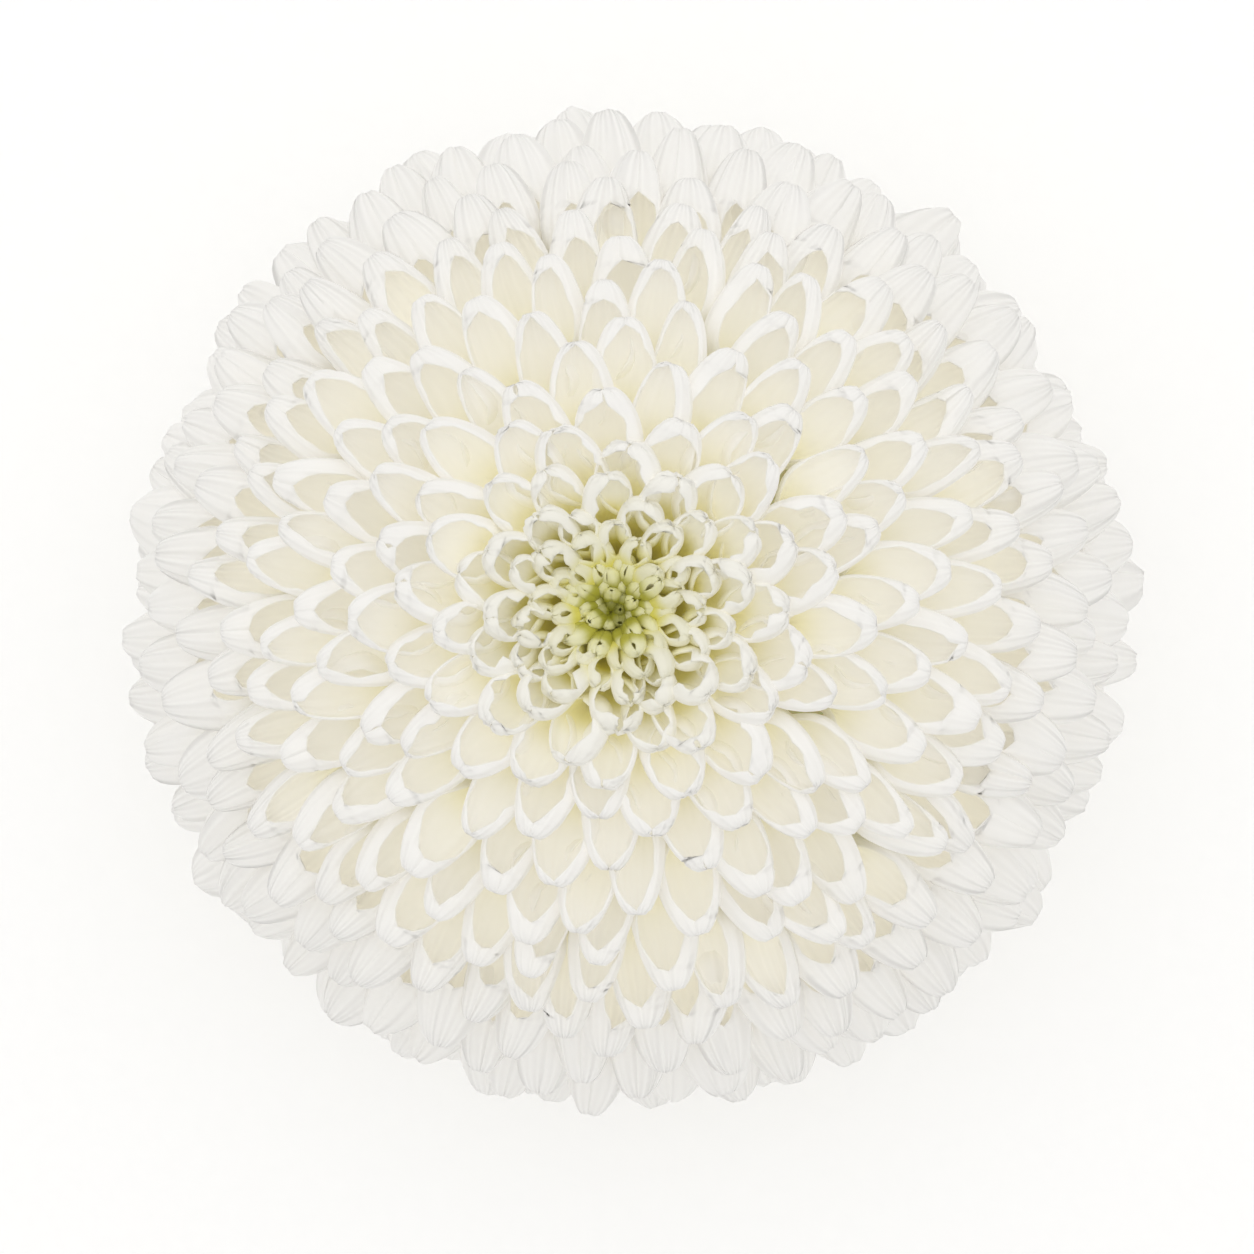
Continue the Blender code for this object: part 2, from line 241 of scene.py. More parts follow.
def shell_faces(stations, across):
    """Faces of a thin sheet with two sides and a rounded edge all round, as wrapped() orders its points."""
    ring = 2 * across + 2
    faces = turned_faces(stations, ring)
    ends = stations * ring
    for edge, base, flip in ((ends, 0, True), (ends + across, (stations - 1) * ring, False)):
        for j in range(across):
            k = j + 1
            outer, inner = base + j, base + ring - 2 - j
            if k < across:
                strips = [(outer, outer + 1, edge + k, edge + j), (edge + j, edge + k, inner - 1, inner)]
            else:
                strips = [(outer, outer + 1, edge + j), (outer + 1, inner, edge + j)]
            if j == 0:
                strips += [(base + ring - 1, outer, edge), (base + ring - 1, edge, inner)]
            faces += [s[::-1] if flip else s for s in strips]
    return [tuple(int(i) for i in face) for face in faces]


def edge_row(a, b, a_before, b_before, size):
    """Points half way between the two sides of a sheet, pushed out past its edge by a size."""
    middle = (a + b) / 2
    out = middle - (a_before + b_before) / 2
    return middle + out / np.maximum(np.linalg.norm(out, axis=-1, keepdims=True), 1e-9) * size


def wrapped(outer, inner):
    """Points of a thin sheet: outer side, right edge, inner side, left edge, then both ends."""
    size = np.linalg.norm(outer - inner, axis=-1, keepdims=True) * 0.5
    right = edge_row(outer[:, -1], inner[:, -1], outer[:, -2], inner[:, -2], size[:, -1])
    left = edge_row(outer[:, 0], inner[:, 0], outer[:, 1], inner[:, 1], size[:, 0])
    rings = np.concatenate([outer, right[:, None], inner[:, ::-1], left[:, None]], 1)
    start = edge_row(outer[0], inner[0], outer[1], inner[1], size[0])
    end = edge_row(outer[-1], inner[-1], outer[-2], inner[-2], size[-1])
    return np.concatenate([rings.reshape(-1, 3), start, end])


def wrapped_mark(outer, inner):
    """The numbers of a mark in the same order as wrapped() gives its points."""
    middle = (outer + inner) / 2
    rings = np.concatenate([outer, middle[:, -1:], inner[:, ::-1], middle[:, :1]], 1)
    return np.concatenate([rings.ravel(), middle[0], middle[-1]])


def joined(parts, template):
    """One set of points, faces and marks from many like parts."""
    points = np.concatenate([p for p, _ in parts])
    count = len(parts[0][0])
    faces = [tuple(i + n * count for i in face) for n in range(len(parts)) for face in template]
    marks = {key: np.concatenate([m[key] for _, m in parts]) for key in parts[0][1]}
    return points, faces, marks


def bract_finish():
    """Leathery green with a darker rib, a pale papery edge and a little down that dulls it."""
    f = Finish("bract_green", 0.6)
    cells = f.noise(f.place(), 2600, 4.0, 0.6)
    green = f.mix(f.ramp(cells, 0.35, 0.7, 0, 1), *BRACT_GREENS)
    green = f.mix(f.ramp(f.mark("across"), 0.0, 0.16, 0.55, 0), green, BRACT_KEEL_GREEN)
    green = f.mix(f.ramp(f.mark("along"), 0.5, 1.0, 0, 0.5), green, BRACT_TIP_GREEN)
    f.colour(f.mix(f.ramp(f.mark("across"), 0.68, 0.92, 0, 1), green, BRACT_PAPER))
    f.roughness(f.ramp(cells, 0.2, 0.8, 0.5, 0.72))
    f.shader.inputs["Sheen Weight"].default_value = 0.25
    f.soft_inside(0.2, 0.0005, (0.5, 1.0, 0.25))
    f.bump(f.sums("ADD", cells, f.sums("MULTIPLY", f.mark("rib"), 1.5)), 0.00010, 0.7)
    return f.material


def make_bract(turn, reach, z, width, draw):
    """One scale: a shallow keeled blade, widest above its middle, that lies out under the florets."""
    along = np.linspace(0, 1, BRACT_STATIONS)[:, None]
    across = np.linspace(-1, 1, BRACT_ACROSS)[None, :]
    root_z = z - BRACT_ROOT_DROP - (reach - BRACT_ROOT_RADIUS) * BRACT_SLOPE
    root = np.array([BRACT_ROOT_RADIUS, root_z])
    line = root + (np.array([reach, z]) - root) * along
    half = width / 2 * np.interp(along, *BRACT_OUTLINE)
    sideways = half * across + draw.uniform(-BRACT_LEAN, BRACT_LEAN) * along**2
    keel = BRACT_THICKNESS * BRACT_KEEL_HEIGHT * np.exp(-((across / BRACT_KEEL_WIDTH) ** 2))
    keel = keel * (1 - 0.5 * along)
    ripple = BRACT_RIPPLE * np.sin(9 * along + 7 * across + turn)
    curl = BRACT_CURL * across**2 * along + ripple * across**2
    thick = BRACT_THICKNESS * (1 - 0.6 * np.abs(across) ** 2) * (1 - 0.45 * along)
    sides = []
    for lift in (curl - keel, curl + thick):
        spots = round_the_axis(line[:, :1] + 0 * across, line[:, 1:] + lift, turn)
        sides.append(spots + sideways[..., None] * np.array([-math.sin(turn), math.cos(turn), 0]))
    marks = {
        "along": along + 0 * across,
        "across": np.abs(across) + 0 * along,
        "rib": 0.5 + 0.5 * np.cos(across * BRACT_RIBS) + 0 * along,
    }
    return wrapped(*sides), {key: wrapped_mark(values, values) for key, values in marks.items()}


def make_involucre():
    draw = random.Random(BRACT_SEED)
    finish = bract_finish()
    bracts = []
    for row, (count, reach, z, width) in enumerate(BRACT_ROWS):
        for i in range(count):
            turn = 2 * math.pi * (i + row / len(BRACT_ROWS)) / count
            bracts.append(make_bract(turn, reach, z, width, draw))
    points, faces, marks = joined(bracts, shell_faces(BRACT_STATIONS, BRACT_ACROSS))
    seat(make_mesh("bracts", points, faces, finish, marks), "involucre")

    turns = full_circle(CUP_AROUND)
    waves = CUP_WAVE_HEIGHT * np.sin(turns * CUP_WAVES)
    rings = [round_the_axis(radius + waves * (radius > 0), z, turns) for radius, z in CUP_PROFILE]
    zero = np.zeros(len(rings) * CUP_AROUND)
    marks = {"along": zero, "across": zero + 0.3, "rib": zero}
    faces = turned_faces(len(rings), CUP_AROUND)
    seat(make_mesh("bract_cup", np.concatenate(rings), faces, finish, marks), "involucre")


make_involucre()


# White florets: about 500 thin, spoon-shaped petals in a ball. Each is one petal rolled into a narrow tube
# at its root and opening into a spoon with inrolled rims and a notched tip, grown from the cushion inside.
HEAD_RADIUS = 0.0330
WIDEST_Z = 0.022
CROWN_RISE = 0.0303
UNDER_DROP = 0.0325
FIRST_TIP_ANGLE = 0.022
LAST_TIP_ANGLE = math.radians(138)
WHITE_STARTS = math.radians(7.0)
GOLDEN_ANGLE = math.pi * (3 - math.sqrt(5))
DIMPLE_DEPTH = 0.0035
DIMPLE_RADIUS = 0.005
CORE_RADIUS = 0.024
CORE_RISE = 0.021
CORE_DROP = 0.009

# How far the florets lean: the angle of a tip from the crown, and that of its root, in degrees.
LEAN = (
    (0, 1, 3, 5, 7, 10, 13, 17, 22, 27, 35, 44, 53, 64, 75, 90, 105, 120, 138),
    (0, 0.4, 1.4, 2.4, 3.6, 5.6, 7.8, 10.8, 14.5, 18, 25, 33, 43, 53, 61, 74, 91, 113, 145),
)

# How far apart they stand: the angle of a tip from the crown, in degrees, and the distance there, in mm.
SPACING = (
    (0, 3, 5, 7, 10, 13, 17, 22, 29, 39, 53, 70, 90, 110, 138),
    (0.95, 1.05, 1.22, 1.50, 2.00, 2.60, 3.25, 3.80, 4.10, 4.25, 4.40, 4.70, 5.20, 5.50, 5.60),
)
TURN_SPREAD = math.radians(1.7)
REACH_SPREAD = (0.96, 1.025)
WIDTH_SPREAD = (0.92, 1.08)
LOW_KNEE = 0.85
LOW_FROM = math.radians(112)
PLACING_SEED = 41
PETAL_SEED = 3

# How a floret's form changes outwards: how far its tip is from the axis, in mm, and the values there. Most
# are shares of its length, its half width or its room; end_limit is in degrees, and skin is in mm.
FORM = {
    "out": (0, 2.5, 4.5, 6, 8, 10, 13, 17, 22, 28, 31, 35),
    "knee": (0.66, 0.66, 0.68, 0.70, 0.70, 0.69, 0.64, 0.55, 0.46, 0.41, 0.39, 0.38),
    "upright": (1, 1, 1, 1, 1, 0.95, 0.8, 0.55, 0.3, 0.1, 0.05, 0),
    "size": (0.50, 0.51, 0.50, 0.48, 0.49, 0.495, 0.48, 0.455, 0.435, 0.44, 0.465, 0.50),
    "mouth_starts": (0.90, 0.88, 0.80, 0.72, 0.64, 0.58, 0.53, 0.46, 0.42, 0.40, 0.40, 0.40),
    "mouth_ends": (0.97, 0.97, 0.97, 0.975, 0.98, 0.98, 0.975, 0.97, 0.955, 0.91, 0.77, 0.60),
    "mouth_width": (0.02, 0.08, 0.30, 0.66, 0.80, 0.82, 0.82, 0.82, 0.79, 0.68, 0.42, 0.24),
    "widest": (0.78, 0.78, 0.79, 0.81, 0.80, 0.77, 0.73, 0.70, 0.69, 0.70, 0.72, 0.74),
    "below": (0.75, 0.76, 0.80, 0.84, 0.85, 0.84, 0.86, 0.88, 0.90, 0.88, 0.84, 0.80),
    "above": (0.62, 0.62, 0.62, 0.60, 0.58, 0.56, 0.55, 0.55, 0.55, 0.56, 0.58, 0.60),
    "sunk": (0, 0, 0.15, 0.22, 0.27, 0.30, 0.34, 0.36, 0.38, 0.36, 0.32, 0.28),
    "opened": (0.20, 0.22, 0.26, 0.24, 0.16, 0.10, 0.06, 0.04, 0.03, 0.03, 0.03, 0.03),
    "end_width": (0.60, 0.64, 0.66, 0.66, 0.62, 0.56, 0.48, 0.40, 0.36, 0.36, 0.36, 0.36),
    "end_limit": (172, 168, 158, 150, 138, 126, 110, 98, 90, 85, 82, 80),
    "end_power": (1.5, 1.6, 2.1, 2.8, 2.9, 2.6, 2.2, 1.95, 1.9, 1.9, 2.0, 2.0),
    "hood": (0, 0, 0, 0.02, 0.05, 0.08, 0.18, 0.28, 0.38, 0.46, 0.52, 0.52),
    "ragged": (0.5, 0.8, 1.2, 1.2, 1.0, 0.80, 0.55, 0.35, 0.22, 0.12, 0.08, 0.05),
    "root_width": (0.62, 0.58, 0.48, 0.40, 0.36, 0.32, 0.28, 0.24, 0.22, 0.25, 0.32, 0.38),
    "flutes": (0.20, 0.20, 0.14, 0.08, 0.02, 0, 0, 0, 0.04, 0.14, 0.24, 0.28),
    "skin": (0.14, 0.16, 0.20, 0.24, 0.26, 0.27, 0.26, 0.25, 0.23, 0.22, 0.22, 0.22),
    "strayed": (0.22, 0.26, 0.28, 0.28, 0.28, 0.28, 0.28, 0.28, 0.28, 0.26, 0.22, 0.20),
}

# Shares of a petal's length or of its half width, and turns round it in radians. WIDE_SEAM_FROM, FOLD_DEPTH
# and LOWEST_Z are in metres.
SIZE_SPREAD = 0.07
TWIST_SPREAD = math.radians(15)
TUBE_SUNK = 0.42
CLOSER_AT_TIP = 1.45
SPOON_FROM = 0.34
WIDER_FROM = 0.36
HOOD_FROM = 0.72
HOOD_LENGTH = 0.28
TIP_BLUNT = 0.04
MOUTH_RIPPLES = (11, 19, 33, 52)
HOLE_FROM_RAGGED = 0.3
HOLE_LENGTH = 0.014
MOUTH_END_LIMIT = 0.985
WIDE_SEAM = 0.16
NARROW_SEAM = 0.02
WIDE_SEAM_SHARE = 0.8
WIDE_SEAM_FROM = 0.022
FLUTE_COUNT = 5
FOLD_AT = 0.62
FOLD_WIDTH = 0.22
FOLD_DEPTH = 0.00007
EDGE_THINNED = 0.25
THICKEST = 0.4
TUCK_DEPTH = 0.6
NOTCH_FROM = 0.86
NOTCH_WIDTH = 0.45
TEETH_FROM = 0.80
TEETH_DEPTH = 0.55
LOWEST_Z = 0.00002

# The petal's colours, the second of each pair in its duller patches.
PETAL_WHITES = (0.962, 0.952, 0.929), (0.953, 0.942, 0.914)
# The inner side's ivory, partly the petal's own tint and partly painted shade.
PETAL_IVORY_SHADES = (0.951, 0.938, 0.886), (0.940, 0.926, 0.864)
YOUNG_CREAM = (0.945, 0.915, 0.670)
NEAR_EYE_GREEN = (0.72, 0.69, 0.29)
TUBE_CREAM = (0.95, 0.92, 0.70)
TUBE_GREEN = (0.76, 0.70, 0.08)
# Painted glow that the petals emit: ivory, and greener down the tubes of the young, with its strengths
# outside and inside a spoon and in the outer rows.
GLOW_IVORY = (1.0, 0.965, 0.87)
GLOW_GREEN = (1.0, 0.94, 0.35)
GLOW_OUTSIDE = 0.069
GLOW_INSIDE = 0.087
GLOW_OUTER_ROWS = 0.036
VEIN_COUNT = 11.0

# Each tier of the ball: the angles from the crown that its tips lie between, in degrees, and how many
# stations its petals have along them and how many points across.
TIERS = (
    ("florets_inner", 0, 22, 27, 17),
    ("florets_crown", 22, 37, 25, 17),
    ("florets_shoulder", 37, 53, 25, 17),
    ("florets_side", 53, 71, 24, 17),
    ("florets_rim", 71, 94, 21, 19),
    ("florets_under", 94, 139, 18, 13),
)


def smooth_step(value, low, high):
    share = np.clip((value - low) / (high - low), 0, 1)
    return share * share * (3 - 2 * share)


def on_ball(radius, rise, drop, angle):
    height = rise if angle < math.pi / 2 else drop
    return radius * math.sin(angle), WIDEST_Z + height * math.cos(angle)


def tip_point(angle):
    radius, z = on_ball(HEAD_RADIUS, CROWN_RISE, UNDER_DROP, angle)
    return radius, max(z - DIMPLE_DEPTH * math.exp(-((radius / DIMPLE_RADIUS) ** 2)), 0.0)


def root_angle(tip_angle):
    return math.radians(float(np.interp(math.degrees(tip_angle), *LEAN)))


def floret_places():
    """Tip angle, turn and share of the ball for every floret, from the middle of the eye out."""
    angle = FIRST_TIP_ANGLE
    places = []
    while angle < LAST_TIP_ANGLE:
        area = (float(np.interp(math.degrees(angle), *SPACING)) * 0.001) ** 2
        places.append((angle, len(places) * GOLDEN_ANGLE, area))
        height = CROWN_RISE if angle < math.pi / 2 else UNDER_DROP
        along = math.hypot(HEAD_RADIUS * math.cos(angle), height * math.sin(angle))
        angle += area / (2 * math.pi * HEAD_RADIUS * math.sin(angle) * along)
    return places


def petal_finish():
    """Soft white petal: ivory inside and yellow-green down in its tube, both deepened there by painted
    shade, with a painted glow, finely veined, with a silky skin.
    """
    f = Finish("petal_white", 0.55)
    inside, neck, young, rim = f.mark("inside"), f.mark("neck"), f.mark("young"), f.mark("rim")
    patches = f.noise(f.place(), 420, 1.0, 0.55)
    white = f.mix(f.ramp(patches, 0.3, 0.7, 0, 1), *PETAL_WHITES)
    ivory = f.mix(f.ramp(patches, 0.3, 0.7, 0, 1), *PETAL_IVORY_SHADES)
    # Inside the spoon the colour goes to ivory. This is partly the petal's own tint and partly painted
    # shade, deepest down in the spoon.
    colour = f.mix(inside, white, ivory)
    colour = f.mix(f.sums("MULTIPLY", young, 0.42), colour, YOUNG_CREAM)
    colour = f.mix(f.mark("eye"), colour, NEAR_EYE_GREEN)
    tube = f.mix(young, TUBE_CREAM, TUBE_GREEN)
    # Down the neck the tube colour comes in. It is partly the tube's own yellow-green and partly painted
    # shade, deeper on the inner side of the spoon.
    neck_tint_and_shade = f.sums("ADD", f.sums("MULTIPLY_ADD", inside, 0.3, 0.5), f.sums("MULTIPLY", young, 0.40))
    f.colour(f.mix(f.sums("MULTIPLY", neck, neck_tint_and_shade, clamp=True), colour, tube))
    f.roughness(f.ramp(patches, 0.2, 0.8, 0.48, 0.62))
    f.shader.inputs["Specular IOR Level"].default_value = 0.35
    f.shader.inputs["Sheen Weight"].default_value = 0.08

    # Painted glow: the petals emit a little light of their own. It stands in for light that comes through
    # thin petals and lifts their shade. It is more inside a spoon than outside it, less where they are
    # young, less on the outside of the outer rows, and more again in the spoons of the outer rows.
    glow = f.mix(f.sums("MULTIPLY", young, neck), GLOW_IVORY, GLOW_GREEN)
    glow_share = f.sums("MAXIMUM", inside, f.sums("MULTIPLY", neck, 0.7))
    painted_glow_strength = f.ramp(glow_share, 0.0, 1.0, GLOW_OUTSIDE, GLOW_INSIDE)
    painted_glow_strength = f.sums("MULTIPLY", painted_glow_strength, f.ramp(young, 0.0, 1.0, 1.0, 0.4))
    outside = f.sums("MULTIPLY", rim, f.ramp(inside, 0.0, 0.2, 1.0, 0.0))
    painted_glow_strength = f.sums("MULTIPLY", painted_glow_strength, f.ramp(outside, 0.0, 1.0, 1.0, 0.88))
    outer_spoon_glow = f.sums("MULTIPLY", rim, f.ramp(inside, 0.0, 0.4, 0.0, GLOW_OUTER_ROWS))
    painted_glow_strength = f.sums("ADD", painted_glow_strength, outer_spoon_glow)
    f.put(glow, f.shader.inputs["Emission Color"])
    f.put(painted_glow_strength, f.shader.inputs["Emission Strength"])
    f.material.cycles.emission_sampling = "NONE"

    vein = f.sums("SINE", f.sums("MULTIPLY", f.mark("round"), VEIN_COUNT))
    shown = f.sums("ADD", f.ramp(young, 0.0, 1.0, 0.5, 0.15), f.sums("MULTIPLY", rim, 0.5))
    f.bump(f.sums("MULTIPLY", vein, shown), 0.00008, 0.7)
    return f.material


def bent_line(root, knee, tip, side, u, stray, low, draw):
    """A petal's middle line over its knee, with its direction, its front and its side at each station."""
    tip = tip + side * draw.gauss(0, 0.5) * stray
    line = root * ((1 - u) ** 2)[:, None] + knee * (2 * u * (1 - u))[:, None] + tip * (u**2)[:, None]
    tangent = np.gradient(line, u, axis=0)
    tangent /= np.linalg.norm(tangent, axis=1, keepdims=True)
    front = np.cross(tangent, side)
    front /= np.linalg.norm(front, axis=1, keepdims=True)
    lift = (draw.gauss(0, 0.35) * stray * np.clip((u - 0.4) / 0.6, 0, 1) ** 2 * (1 - low))[:, None]
    line = line + front * lift
    sideways = np.cross(front, tangent)
    twist = (draw.gauss(0, TWIST_SPREAD) * u)[:, None]
    turned_front = front * np.cos(twist) + sideways * np.sin(twist)
    sideways = sideways * np.cos(twist) - front * np.sin(twist)
    return line, tangent, turned_front, sideways


def mouth_gap(along, starts, ends, half, width, draw, ragged, hole):
    """Half width of the open mouth at each station: pointed at the neck, round towards the tip, where an
    inner floret has one more small hole."""
    share = np.clip((along - starts) / (ends - starts), 0, 1)
    rounded = np.sqrt(1 - np.clip((share - 0.66) / 0.34, 0, 1) ** 2.4)
    oval = smooth_step(share, -0.12, 0.55) * rounded * (share > 0)
    waves = sum(
        draw.uniform(0.2, 1) * np.sin(along * turns + draw.uniform(0, 6.28)) for turns in MOUTH_RIPPLES
    )
    gap = half * width * oval * (1 + (0.018 + 0.19 * ragged) * waves)
    return gap + hole * np.exp(-(((along - ends - 0.03) / HOLE_LENGTH) ** 2))


def make_floret(root, knee, tip, turn, area, out, stations, across, draw, low=0.0):
    """One petal as a thin closed sheet along the bend from root to knee to tip, with its finish's marks."""
    form = {key: float(np.interp(out * 1000, FORM["out"], values)) for key, values in FORM.items()}
    side = np.array([-math.sin(turn), math.cos(turn), 0.0])
    size = form["size"] * math.sqrt(area) * (1 + draw.gauss(0, SIZE_SPREAD))
    u = 1 - (1 - np.linspace(0, 1, stations)) ** CLOSER_AT_TIP
    stray = form["strayed"] * math.sqrt(area)
    line, tangent, front, sideways = bent_line(root, knee, tip, side, u, stray, low, draw)

    # Its half width, its depth below and above its centre, and how far that centre is from the middle line.
    widest = form["widest"] + draw.uniform(-0.02, 0.02)
    opened = form["opened"] + draw.uniform(-0.4, 0.4) * min(1.0, 4 * form["opened"])
    opened = min(1.0, max(0.0, opened))
    ragged = form["ragged"] * draw.uniform(0.6, 1.3)
    blunt = TIP_BLUNT + (form["end_width"] - TIP_BLUNT) * opened
    rise = smooth_step(u, WIDER_FROM, widest)
    fall = np.clip((u - widest) / (1 - widest), 0, 1)
    half = size * np.where(
        u < widest,
        form["root_width"] + (1 - form["root_width"]) * rise,
        blunt + (1 - blunt) * np.sqrt(1 - fall ** form["end_power"]),
    )
    spoon = smooth_step(u, SPOON_FROM, widest)
    below = half * (1 + (form["below"] * draw.uniform(0.9, 1.1) - 1) * spoon)
    above = half * (1 + (form["above"] * draw.uniform(0.85, 1.15) - 1) * spoon)
    centre = size * (spoon * (form["below"] - form["sunk"] + TUBE_SUNK) - TUBE_SUNK)
    hood = form["hood"] * draw.uniform(0.6, 1.4) * size
    centre = centre + hood * np.clip((u - HOOD_FROM) / HOOD_LENGTH, 0, 1) ** 2 * (1 - low)

    # How far round each hand of the petal is rolled: closed in a seam at the tube, open along the mouth.
    starts = form["mouth_starts"] + draw.uniform(-0.05, 0.05)
    ends = min(MOUTH_END_LIMIT, form["mouth_ends"] + draw.uniform(-0.05, 0.03))
    width = form["mouth_width"] * draw.uniform(0.9, 1.1)
    shift = draw.gauss(0, 0.14) * size * min(1.0, form["mouth_width"] * 2)
    open_limit = math.radians(form["end_limit"] + draw.uniform(-12, 12))
    wide_seam = draw.random() < WIDE_SEAM_SHARE or out > WIDE_SEAM_FROM
    seam = WIDE_SEAM if wide_seam else NARROW_SEAM
    limits = []
    for hand in (-1, 1):
        hole = size * draw.uniform(-0.20, 0.15) * (HOLE_FROM_RAGGED < form["ragged"])
        gap = mouth_gap(u, starts, ends, half, width, draw, ragged, hole)
        gap = gap + (hand * shift + 0.0004 * form["skin"]) * np.clip(gap / (0.3 * size), 0, 1)
        closed = 1 - np.clip(gap / (0.06 * size), 0, 1)
        rolled = math.pi - np.arcsin(np.clip(gap / half, 0, 0.97)) + seam * closed
        curled_out = smooth_step(u, widest + 0.06, 1.0)
        limits.append(rolled * (1 - opened * curled_out) + open_limit * opened * curled_out)

    # Its cross section at each station, fluted, folded beside its middle, and tucked in under the seam.
    v = np.linspace(-1, 1, across)[None, :]
    phi = np.where(v < 0, limits[0][:, None], limits[1][:, None]) * v
    lobes = draw.uniform(0, 6.28)
    fluted = 0.5 - 0.5 * np.cos(phi * FLUTE_COUNT + lobes)
    flutes = 1 - form["flutes"] * fluted * smooth_step(u, 0.5, 0.95)[:, None]
    half, below, above, centre = (row[:, None] for row in (half, below, above, centre))
    deep = np.where(np.abs(phi) < math.pi / 2, below, above)
    folds = -FOLD_DEPTH * smooth_step(u, starts, widest)[:, None] * (
        np.exp(-(((phi - FOLD_AT) / FOLD_WIDTH) ** 2)) + np.exp(-(((phi + FOLD_AT) / FOLD_WIDTH) ** 2))
    )
    thick = form["skin"] * 0.001 * (1 - EDGE_THINNED * np.abs(v) ** 3)
    thick = np.minimum(thick, THICKEST * np.minimum(half, deep))
    tucked = TUCK_DEPTH * thick * smooth_step(np.abs(phi), math.pi - 0.02, math.pi + 0.18)
    x = (half * flutes + folds - tucked) * np.sin(phi)
    y = centre - (deep * flutes + folds - tucked) * np.cos(phi)
    notch = size * (0.05 + 0.12 * opened) * draw.uniform(0.3, 1.6)
    teeth = TEETH_DEPTH * ragged * size * (0.1 + 0.9 * opened)
    pulled = -smooth_step(u, NOTCH_FROM, 1.0)[:, None] * notch * np.exp(-((phi / NOTCH_WIDTH) ** 2))
    toothed = 0.5 + 0.5 * np.cos(phi * FLUTE_COUNT + lobes)
    pulled = pulled - smooth_step(u, TEETH_FROM, 1.0)[:, None] * teeth * toothed

    inner = (
        line[:, None] + sideways[:, None] * x[..., None] + front[:, None] * y[..., None]
        + tangent[:, None] * pulled[..., None]
    )
    outward = np.cross(np.gradient(inner, axis=1), np.gradient(inner, axis=0))
    outward /= np.maximum(np.linalg.norm(outward, axis=-1, keepdims=True), 1e-12)
    points = wrapped(inner + outward * thick[..., None], inner)
    points[:, 2] = np.maximum(points[:, 2], LOWEST_Z)

    # What the finish reads, on the outer and the inner side: where a point is on its petal and on the head.
    plain = np.zeros_like(phi)
    neck = 1 - smooth_step(u, starts - 0.05, starts + 0.62 * (ends - starts))[:, None] + plain
    # Painted shade on the inner side: the ivory is deepest down in the spoon and fades towards the tip and
    # the rims.
    deep_in_shade = 1 - 0.75 * smooth_step(u, starts + 0.45 * (ends - starts), 1.0)[:, None] + plain
    deep_in_shade = deep_in_shade * (1 - 0.8 * smooth_step(np.abs(v), 0.6, 1.0))
    young = plain + 1 - smooth_step(out, 0.004, 0.014)
    near_eye = plain + 1 - smooth_step(out, 0.0005, 0.0075)
    rim = plain + smooth_step(out, 0.024, 0.030)
    marks = {
        "inside": wrapped_mark(plain, deep_in_shade),
        "neck": wrapped_mark(neck, neck),
        "young": wrapped_mark(young, young),
        "eye": wrapped_mark(near_eye, near_eye),
        "rim": wrapped_mark(rim, rim),
        "round": wrapped_mark(phi + lobes, phi + lobes),
    }
    return points, marks


def white_floret(angle, turn, area, stretch, stations, across, draw):
    """One floret of the ball, from its root on the cushion to its tip on the ball."""
    rooted = root_angle(angle)
    root_height = CORE_RISE if rooted < math.pi / 2 else CORE_DROP
    away, up = math.sin(rooted) / CORE_RADIUS, math.cos(rooted) / root_height
    away, up = away / math.hypot(away, up), up / math.hypot(away, up)
    root = round_the_axis(*on_ball(CORE_RADIUS, CORE_RISE, CORE_DROP, rooted), turn)
    tip = root + (round_the_axis(*tip_point(angle), turn) - root) * stretch
    out = HEAD_RADIUS * (math.sin(angle) if angle <= math.pi / 2 else 1)
    low = max(0.0, (angle - LOW_FROM) / (LAST_TIP_ANGLE - LOW_FROM))
    bends_at = float(np.interp(out * 1000, FORM["out"], FORM["knee"]))
    upright = float(np.interp(out * 1000, FORM["out"], FORM["upright"]))
    away, up = away * (1 - upright), up * (1 - upright) + upright
    reach = float(np.linalg.norm(tip - root)) * (bends_at + (LOW_KNEE - bends_at) * low)
    knee = root + round_the_axis(away, up, turn) * reach
    return make_floret(root, knee, tip, turn, area, out, stations, across, draw, low)


def make_white_florets():
    finish = petal_finish()
    placing = random.Random(PLACING_SEED)
    draw = random.Random(PETAL_SEED)
    tiers = {name: [] for name, *_ in TIERS}
    for angle, turn, area in floret_places():
        if angle < WHITE_STARTS:
            continue
        turn += placing.uniform(-TURN_SPREAD, TURN_SPREAD)
        stretch, widen = placing.uniform(*REACH_SPREAD), placing.uniform(*WIDTH_SPREAD)
        for name, first, last, stations, across in TIERS:
            if first <= math.degrees(angle) < last:
                floret = white_floret(angle, turn, area * widen**2, stretch, stations, across, draw)
                tiers[name].append(floret)
    for name, _, _, stations, across in TIERS:
        points, faces, marks = joined(tiers[name], shell_faces(stations, across))
        seat(make_mesh(name, points, faces, finish, marks), "ray_florets")


make_white_florets()


# Cushion: the solid, domed base inside the ball that every floret is rooted in. It is pale spongy plant
# tissue, and its skin is close-set bumps, one under each floret. Only slits between the florets show it.
CUSHION_RINGS = 60
CUSHION_AROUND = 130
CUSHION_POLE = 0.0005
CUSHION_BUMP = 0.0005
CUSHION_BUMP_WIDTH = 0.4
CUSHION_DIP = 0.0022
CUSHION_DIP_RADIUS = 0.0042
CROWN_TINT_RADIUS = 0.006
CUSHION_HOLLOWS = (0.50, 0.47, 0.20)
CUSHION_BUMPS = (0.74, 0.71, 0.44)
CUSHION_PALE = (0.80, 0.78, 0.55)
CUSHION_OLIVE = (0.22, 0.22, 0.02)


